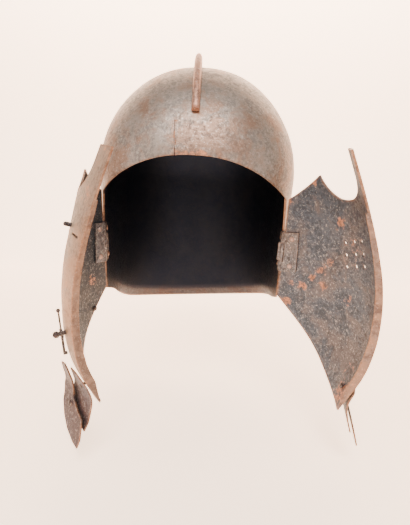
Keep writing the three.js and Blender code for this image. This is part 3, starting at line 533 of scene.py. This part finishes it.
def thick_plate(flat, faces, surface, wall, side, sink):
    """A plate bent on a surface: outer and inner faces and the rim between them. Its outer face
    sinks by a depth of its own at each point."""
    count = len(flat)
    outward = normals_of(surface, flat)
    outer = surface(flat) - outward * sink[:, None]
    inner = surface(flat) - outward * (wall + sink)[:, None]
    points = np.concatenate([outer, inner])
    points[:, 0] *= SIGN[side]
    plate = [tuple(f) for f in faces]
    plate += [tuple(count + i for i in reversed(f)) for f in faces]
    free_edges = {}
    for f in faces:
        for a, b in ((f[0], f[1]), (f[1], f[2]), (f[2], f[0])):
            key = (min(a, b), max(a, b))
            free_edges[key] = None if key in free_edges else (a, b)
    for a, b in filter(None, free_edges.values()):
        plate.append((b, a, count + a, count + b))
    return points, plate


def swing(points, side):
    """Turns a closed door's points about its hinge to where the door stands."""
    axis = Vector((0, -HINGE_LEAN, 1)).normalized()
    pivot = Vector((SIGN[side] * HINGE_X, 0, 0))
    turn = Matrix.Rotation(math.radians(REST_ANGLE[side]) * SIGN[side], 4, axis)
    m = np.array(Matrix.Translation(pivot) @ turn @ Matrix.Translation(-pivot))
    return np.asarray(points) @ m[:3, :3].T + m[:3, 3]


# Doors

def door_surface(flat):
    """Outer face of a closed door, bent from the hinge to the middle line."""
    reach, height = flat[:, 0], flat[:, 1]
    u = reach / DOOR_WIDTH
    share = (height - DOOR_BOTTOM) / (DOOR_TOP - DOOR_BOTTOM)
    depth = DOOR_BELLY * profile_at(MIDLINE_PROFILE, share)
    hinge_y = -HINGE_LEAN * height
    control_y = hinge_y + DOOR_FULLNESS * (-depth - hinge_y)
    a, b, c = (1 - u) ** 2, 2 * u * (1 - u), u**2
    x = a * HINGE_X + b * DOOR_CONTROL_X + c * MIDLINE_GAP
    y = a * hinge_y + b * control_y - c * depth
    return np.stack([x, y, height], 1)


def door_lower_edge(share):
    fall = 1 - (1 - share) ** LOWER_EDGE_POWER
    return DOOR_REAR_BOTTOM + (DOOR_BOTTOM - DOOR_REAR_BOTTOM) * fall


def door_outline(side):
    bar = DOOR_WIDTH - NASAL_WIDTH[side]
    top = NASAL_TOP[side]
    share = np.linspace(0, 1, 60)
    lower_reach = DOOR_REAR_GAP + share * (DOOR_WIDTH - DOOR_REAR_GAP)
    lower = np.stack([lower_reach, door_lower_edge(share)], 1)
    notch, peak = EYE_NOTCH, DOOR_PEAK[side]
    root = (bar, notch[1] + 27)
    upper = [np.array([[DOOR_WIDTH, top], [bar + 1, top], root]),
             bezier(root, (bar - 2, root[1] - 18), (notch[0] + 19, notch[1]), notch, 24),
             bezier(notch, (notch[0] - 13, notch[1]), (peak[0] + 6.5, peak[1] - 11), peak, 20)]
    return np.concatenate([[[DOOR_REAR_GAP, DOOR_REAR_TOP]], lower, *upper])


def breath_holes():
    """Holes that widen away from the hinge, so that light still shows through the steep ones."""
    holes = []
    for row in range(HOLE_ROWS):
        for column in range(HOLE_COLUMNS):
            reach = HOLE_FIRST_REACH + column * HOLE_COLUMN_STEP
            height = HOLE_TOP_Z - row * HOLE_ROW_STEP + column * HOLE_COLUMN_STEP * HOLE_ROW_RISE
            holes.append(circle((reach, height), HOLE_RADIUS + HOLE_GROWTH * column))
    return holes


def slot():
    low, high = SLOT_Z - SLOT_HEIGHT / 2, SLOT_Z + SLOT_HEIGHT / 2
    near, far = SLOT_REACH - SLOT_LENGTH / 2, SLOT_REACH + SLOT_LENGTH / 2
    return np.array([[near, low], [far, low], [far, high], [near, high]])


def flange_strip(side):
    """The inward-turned strip along the middle line, as points, faces and edge values."""
    bottom = DOOR_BOTTOM + 2
    z = np.linspace(bottom, FLANGE_TOP, FLANGE_ROWS)
    up = (z - bottom) / (FLANGE_TOP - bottom)
    depth = FLANGE_DEPTH_BOTTOM + (FLANGE_DEPTH_TOP - FLANGE_DEPTH_BOTTOM) * up
    depth = depth * (0.2 + 0.8 * smooth_step(up, 0, FLANGE_TIP_SHARE))
    share = (z - DOOR_BOTTOM) / (DOOR_TOP - DOOR_BOTTOM)
    front = -DOOR_BELLY * profile_at(MIDLINE_PROFILE, share) + DOOR_WALL * 0.4
    near, far = MIDLINE_GAP, MIDLINE_GAP + FLANGE_WALL
    ragged = 0.35 * waves(np.stack([z, z * 0, z * 0], 1), 9, 5)
    section = [(near, 0.0), (near, 0.35), (near, 0.7), (near + 0.1, 0.97), (near + 0.5, 1.0),
               (far - 0.5, 1.0), (far - 0.1, 0.97), (far, 0.7), (far, 0.0)]
    points = []
    edge = []
    for k in range(FLANGE_ROWS):
        for x, level in section:
            points.append([SIGN[side] * x, front[k] + (depth[k] + ragged[k]) * level, z[k]])
            edge.append(1.0 if level > 0.9 else 0.0)
    return np.array(points), sweep_faces(FLANGE_ROWS, len(section)), edge


def stains_at(flat, rows):
    total = np.zeros(len(flat))
    for reach, height, radius, strength in rows:
        away = np.hypot(flat[:, 0] - reach, flat[:, 1] - height)
        total = np.maximum(total, strength * np.exp(-(away / radius) ** 2))
    return total


def build_door(side):
    holes = breath_holes() if side == "left" else [slot()]
    flat, faces, distance, hole_distance = flat_mesh(door_outline(side), holes, DOOR_SPACING)
    edge = np.exp(-distance / 2.4)
    sink = 0.5 * np.clip(waves(np.c_[flat, flat[:, 0] * 0], 34, 3 + SIGN[side]) + 0.2, 0, 1)
    sink = sink * (1 - np.exp(-distance / 6))
    points, all_faces = thick_plate(flat, faces, door_surface, DOOR_WALL, side, sink)
    strip, strip_faces, strip_edge = flange_strip(side)
    offset = len(points)
    points = np.concatenate([points, strip])
    all_faces += [tuple(offset + i for i in f) for f in strip_faces]
    to_middle = DOOR_WIDTH - flat[:, 0]
    stain = stains_at(flat, DOOR_STAINS[side])
    ring = np.exp(-hole_distance / 2.5)
    count = len(strip)

    def three_parts(outer, inner, on_strip):
        """Values for the outer face, the inner face and the flange."""
        return np.concatenate([outer, inner, np.full(count, on_strip)])

    attributes = {
        "edge": np.concatenate([edge, edge, strip_edge]),
        "inside": three_parts(np.zeros(len(flat)), np.ones(len(flat)), 0.75),
        "middle": three_parts(0.8 * np.exp(-to_middle / 30), np.exp(-to_middle / 4), 0.6),
        "stain": three_parts(stain * 0.7, stain, 0.3),
        "pierced": three_parts(ring, ring, 0.0),
    }
    return add_piece(f"door_skin_{side}", swing(points, side), all_faces, f"{side}_door",
                     [f"door_{side}"], attributes, sharp=35)


def lame_surface(profile):
    """Outer face of a lame, given its depth by height at the middle."""
    def surface(flat):
        depth = profile_at(profile, flat[:, 1])
        return np.stack([flat[:, 0], LAME_CURVE * flat[:, 0] ** 2 - depth, flat[:, 1]], 1)
    return surface


def build_lame(name, outline, profile, side):
    flat, faces, distance, _ = flat_mesh(np.array(outline, float), [], LAME_SPACING)
    edge = np.exp(-distance / 1.6)
    sink = 0.2 * np.clip(waves(np.c_[flat, flat[:, 0] * 0], 15, 7), 0, 1) * (1 - edge)
    points, all_faces = thick_plate(flat, faces, lame_surface(profile), LAME_WALL, side, sink)
    inside = np.concatenate([np.zeros(len(flat)), np.ones(len(flat))])
    return add_piece(f"{name}_skin_{side}", swing(points, side), all_faces, f"{side}_door",
                     [f"{name}_{side}"], {"edge": np.tile(edge, 2), "inside": inside},
                     sharp=35)


# Materials

class Nodes:
    """Short ways to add and join shader nodes."""

    def __init__(self, name):
        self.material = bpy.data.materials.new(name)
        self.material.use_nodes = True
        self.tree = self.material.node_tree
        self.tree.nodes.clear()

    def feed(self, socket, value):
        """Joins another node's output to a socket, or sets a plain value on it."""
        if isinstance(value, bpy.types.NodeSocket):
            self.tree.links.new(value, socket)
        else:
            socket.default_value = value

    def add(self, kind, **inputs):
        node = self.tree.nodes.new(kind)
        for key, value in inputs.items():
            self.feed(node.inputs[key.replace("_", " ")], value)
        return node

    def math(self, operation, a, b, clamp=False):
        node = self.tree.nodes.new("ShaderNodeMath")
        node.operation = operation
        node.use_clamp = clamp
        self.feed(node.inputs[0], a)
        self.feed(node.inputs[1], b)
        return node.outputs[0]

    def noise(self, coordinates, size, detail, roughness, distortion=0.0):
        """Patchy noise with features of about size millimetres."""
        node = self.add("ShaderNodeTexNoise", Vector=coordinates, Scale=1000.0 / size,
                        Detail=detail, Roughness=roughness, Distortion=distortion)
        return node.outputs["Fac"]

    def step(self, value, low, high):
        """0 at low and 1 at high, smooth between them."""
        node = self.tree.nodes.new("ShaderNodeMapRange")
        node.interpolation_type = "SMOOTHSTEP"
        self.feed(node.inputs["Value"], value)
        self.feed(node.inputs["From Min"], low)
        self.feed(node.inputs["From Max"], high)
        return node.outputs["Result"]

    def mix(self, share, a, b):
        """Colour a with a share of colour b over it."""
        node = self.tree.nodes.new("ShaderNodeMix")
        node.data_type = "RGBA"
        factor, first, second = node.inputs[0], node.inputs[6], node.inputs[7]
        self.feed(factor, share)
        self.feed(first, a)
        self.feed(second, b)
        return node.outputs[2]

    def scaled(self, value, factor):
        return self.math("MULTIPLY", value, factor)

    def add_up(self, a, b):
        return self.math("ADD", a, b)

    def blend(self, a, b, share):
        """Weighted mean of two numbers: share of b, the rest of a."""
        return self.add_up(self.scaled(a, 1 - share), self.scaled(b, share))

    def attribute(self, name):
        node = self.tree.nodes.new("ShaderNodeAttribute")
        node.attribute_name = name
        return node.outputs["Fac"]

    def shape_edge(self, radius):
        """Near one where the shape has a hard edge within radius metres."""
        rounded = self.add("ShaderNodeBevel", Radius=radius).outputs["Normal"]
        true = self.add("ShaderNodeNewGeometry").outputs["Normal"]
        product = self.tree.nodes.new("ShaderNodeVectorMath")
        product.operation = "DOT_PRODUCT"
        self.feed(product.inputs[0], rounded)
        self.feed(product.inputs[1], true)
        return self.step(product.outputs["Value"], 0.99, 0.8)

    def finish(self, **surface):
        """The material, with one surface shader made from these inputs."""
        shader = self.add("ShaderNodeBsdfPrincipled", **surface)
        self.add("ShaderNodeOutputMaterial", Surface=shader.outputs["BSDF"])
        return self.material


def tone(red, green, blue):
    """A colour from its sRGB numbers out of 255."""
    linear = [((v / 255 + 0.055) / 1.055) ** 2.4 if v > 10 else v / 255 / 12.92
              for v in (red, green, blue)]
    return (*linear, 1.0)


# Worn metal, bright specks, fresh and old rust, the dark of the pits, and the pale tint of painted
# highlights on hinge and rivet edges
COPPER, BARE, PALE = tone(122, 84, 64), tone(152, 118, 96), tone(186, 176, 168)
RUST, BROWN, PIT = tone(196, 130, 92), tone(104, 70, 54), tone(40, 42, 48)
EDGE_HIGHLIGHT_TINT = tone(190, 160, 142)


def old_steel(name, cool, warm, inner=None, wear_and_highlight_tint=COPPER, mottle=1.0, rust_amount=0.4,
              metallic=0.7, roughness=0.46, edges_by_shape=False):
    """Old steel: cool and warm patches, dark pitting, pale bare specks, rust in stains and a coppery
    tint along worn edges; on hinges and rivets that edge tint is pale and paints highlights instead.
    inner holds the same two colours for the faces that point inward."""
    n = Nodes(name)
    spot = n.add("ShaderNodeTexCoord").outputs["Object"]
    broad = n.noise(spot, size=52, detail=4, roughness=0.6, distortion=0.3)
    middle = n.noise(spot, size=15, detail=7, roughness=0.66, distortion=0.7)
    fine = n.noise(spot, size=3.3, detail=6, roughness=0.8, distortion=0.3)
    grain = n.noise(spot, size=1.5, detail=3, roughness=0.6)
    medley = n.blend(middle, fine, 0.6)

    # Cool and warm patches
    warm_share = n.step(n.blend(broad, middle, 0.45), 0.45, 0.58)
    colour = n.mix(n.scaled(warm_share, 0.85), cool, warm)
    if inner:
        inside = n.mix(n.scaled(warm_share, 0.8), inner[0], inner[1])
        colour = n.mix(n.attribute("inside"), colour, inside)

    # Dark pits and pale specks
    # The painted shade of the skull's hollow keeps pale specks and rust off it
    in_light = n.math("SUBTRACT", 1.0, n.attribute("hollow_shade"))
    dark_share = n.step(medley, 0.52, 0.42)
    colour = n.mix(n.scaled(dark_share, 0.7 * mottle), colour, PIT)
    pale_share = n.scaled(n.step(n.blend(fine, grain, 0.45), 0.53, 0.62), 0.8 * mottle)
    colour = n.mix(n.math("MULTIPLY", pale_share, in_light), colour, PALE)

    # Worn metal along the doors' middle line
    bare_or_copper = n.mix(n.step(middle, 0.4, 0.6), wear_and_highlight_tint, BARE)
    patchy = n.add_up(0.3, n.scaled(middle, 0.9))
    middle_share = n.math("MULTIPLY", n.attribute("middle"), patchy, clamp=True)
    colour = n.mix(middle_share, colour, bare_or_copper)

    # Rust in the stains and around the breath holes
    stained = n.add_up(medley, n.scaled(n.attribute("stain"), 0.24))
    rust_start = 0.70 - 0.1 * rust_amount
    rust_share = n.scaled(n.step(stained, rust_start, rust_start + 0.06), 0.8)
    near_hole = n.math("MULTIPLY", n.attribute("pierced"), n.step(fine, 0.45, 0.6))
    rust_share = n.math("ADD", rust_share, n.scaled(near_hole, 0.2), clamp=True)
    rust_share = n.math("MULTIPLY", rust_share, in_light)
    colour = n.mix(rust_share, colour, n.mix(n.step(fine, 0.42, 0.6), BROWN, RUST))

    # Worn edges; on hinges and rivets the pale edge tint paints highlights along the edges instead
    edge = n.shape_edge(0.0006) if edges_by_shape else n.attribute("edge")
    edge_share = n.math("MULTIPLY", n.step(edge, 0.45, 0.9), n.step(middle, 0.3, 0.55))
    colour = n.mix(n.scaled(edge_share, 0.8), colour, n.mix(n.step(fine, 0.4, 0.6), wear_and_highlight_tint, BARE))

    # Rust and pits are duller and rougher
    dull_share = n.math("MAXIMUM", rust_share, dark_share)
    shine = n.math("SUBTRACT", metallic, n.scaled(rust_share, 0.4), clamp=True)
    gloss = n.add_up(n.add_up(roughness - 0.1, n.scaled(middle, 0.2)), n.scaled(dull_share, 0.16))
    height = n.add_up(n.scaled(fine, 0.6), n.scaled(grain, 0.25))
    height = n.add_up(height, n.add_up(n.scaled(middle, 1.2), n.scaled(rust_share, 0.25)))
    bump = n.add("ShaderNodeBump", Strength=0.6, Distance=0.0007, Height=height)
    return n.finish(Base_Color=colour, Metallic=shine, Roughness=gloss,
                    Normal=bump.outputs["Normal"])


# The skull's inner colours are near black: partly dark patina, partly painted shade in its hollow.
skull_steel = old_steel("skull_steel", tone(148, 136, 127), tone(134, 104, 86), mottle=0.55,
                        inner=(tone(22, 28, 42), tone(30, 34, 44)), rust_amount=0.3,
                        metallic=0.85, roughness=0.42)
comb_steel = old_steel("comb_steel", tone(168, 126, 106), tone(142, 92, 70), mottle=0.8,
                       rust_amount=0.5)
door_steel = old_steel("door_steel", tone(146, 134, 120), tone(152, 116, 88), mottle=0.7,
                       inner=(tone(76, 84, 96), tone(98, 90, 90)), rust_amount=0.5)
shaded_steel = old_steel("shaded_steel", tone(152, 138, 122), tone(160, 118, 86), mottle=0.45,
                         inner=(tone(34, 42, 52), tone(46, 46, 50)), metallic=0.6)
lame_steel = old_steel("lame_steel", tone(74, 64, 72), tone(66, 50, 52), mottle=0.5,
                       inner=(tone(50, 42, 46), tone(52, 38, 38)), rust_amount=0.3)
# Hinges and rivets: their pale edges are painted highlights, and the rivets are pale all over as a
# painted highlight
hinge_steel = old_steel("hinge_steel", tone(98, 98, 104), tone(106, 92, 86), rust_amount=0.6,
                        wear_and_highlight_tint=EDGE_HIGHLIGHT_TINT, edges_by_shape=True)
rivet_painted_highlight = old_steel("rivet_painted_highlight", tone(166, 140, 130), tone(150, 108, 90), mottle=0.6,
                        rust_amount=0.5, wear_and_highlight_tint=EDGE_HIGHLIGHT_TINT, edges_by_shape=True)
dark_steel = old_steel("dark_steel", tone(58, 54, 56), tone(62, 46, 42), edges_by_shape=True)
door_steels = {"left": door_steel, "right": shaded_steel}


# Pieces

def dress(piece, material):
    piece.data.materials.clear()
    piece.data.materials.append(material)


def fitting_steel(name):
    """The material of a CAD node that is shown as it is."""
    if "hinge" in name:
        return hinge_steel
    if name.startswith(("door_rivet", "skull_rivet")):
        return rivet_painted_highlight
    return dark_steel


dress(build_skull(), skull_steel)
dress(build_comb(), comb_steel)
for side in SIGN:
    dress(build_door(side), door_steels[side])
    dress(build_lame("upper_lame", UPPER_LAME, UPPER_LAME_PROFILE, side), lame_steel)
    dress(build_lame("lower_lame", LOWER_LAME, LOWER_LAME_PROFILE, side), lame_steel)

for name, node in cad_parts.items():
    if node.hide_render:
        continue
    dress(node, fitting_steel(name))
    node.data.shade_smooth()
    node.data.set_sharp_from_angle(angle=math.radians(42))


# Floor, light and camera, in metres of the row frame

FLOOR_Z, WALL_Y, BEND_RADIUS = -0.405, 1.5, 0.7
BACKDROP_REACH = 3.0
PHOTO_HEIGHT, FOCAL_LENGTH_IN_PIXELS, SENSOR_HEIGHT = 525, 380, 36
CAMERA_SPOT = [24.2, -412.5, 49.5]
CAMERA_ROLL = 2.95
VIEW_DIRECTION = Vector((-0.0231, 0.9870, -0.1592))


def backdrop():
    """A floor that curves up into a wall behind the helmet and glows a little."""
    profile = [(-BACKDROP_REACH, FLOOR_Z)]
    profile += [(WALL_Y - BEND_RADIUS + BEND_RADIUS * math.sin(a),
                 FLOOR_Z + BEND_RADIUS * (1 - math.cos(a)))
                for a in np.linspace(0, math.pi / 2, 24)]
    profile += [(WALL_Y, BACKDROP_REACH)]
    vertices = [(x, y, z) for y, z in profile for x in (-BACKDROP_REACH, BACKDROP_REACH)]
    faces = [(2 * i, 2 * i + 1, 2 * i + 3, 2 * i + 2) for i in range(len(profile) - 1)]
    mesh = bpy.data.meshes.new("backdrop")
    mesh.from_pydata(vertices, [], faces)
    mesh.shade_smooth()
    paper = Nodes("paper").finish(Base_Color=tone(255, 228, 202), Roughness=0.9,
                                  Emission_Color=tone(255, 227, 203), Emission_Strength=2.1)
    mesh.materials.append(paper)
    new_object("backdrop", mesh)


def softbox(name, position, target, width, height, watts, colour=(1, 0.96, 0.92)):
    """A rectangular light that faces a target."""
    light = bpy.data.lights.new(name, "AREA")
    light.shape = "RECTANGLE"
    light.size, light.size_y = width, height
    light.energy = watts
    light.color = colour
    lamp = new_object(name, light)
    lamp.location = position
    facing = Vector(target) - Vector(position)
    lamp.rotation_euler = facing.to_track_quat("-Z", "Y").to_euler()


backdrop()
middle_of_helmet = (0, 0, -0.15)
softbox("top_light", (0.0, -1.15, 1.1), middle_of_helmet, 0.7, 0.5, 38)
softbox("left_light", (-1.25, -0.7, 0.25), middle_of_helmet, 0.9, 1.2, 8)
softbox("right_light", (1.25, -0.7, 0.25), middle_of_helmet, 0.9, 1.2, 4)
softbox("wall_light", (0.0, 0.7, 1.35), (0, WALL_Y, 1.02), 2.8, 0.5, 130, (1, 0.9, 0.8))

world = bpy.data.worlds.new("room")
world.use_nodes = True
sky = world.node_tree.nodes["Background"].inputs
sky["Color"].default_value = tone(250, 240, 230)
sky["Strength"].default_value = 0.5
bpy.context.scene.world = world

camera_data = bpy.data.cameras.new("camera")
camera_data.lens = FOCAL_LENGTH_IN_PIXELS / PHOTO_HEIGHT * SENSOR_HEIGHT
camera_data.clip_start, camera_data.clip_end = 0.01, 20
camera = new_object("camera", camera_data)
roll = Matrix.Rotation(math.radians(CAMERA_ROLL), 4, "Z")
aim = VIEW_DIRECTION.to_track_quat("-Z", "Y").to_matrix().to_4x4()
camera.matrix_world = Matrix.Translation(Vector(place(CAMERA_SPOT))) @ aim @ roll
bpy.context.scene.camera = camera
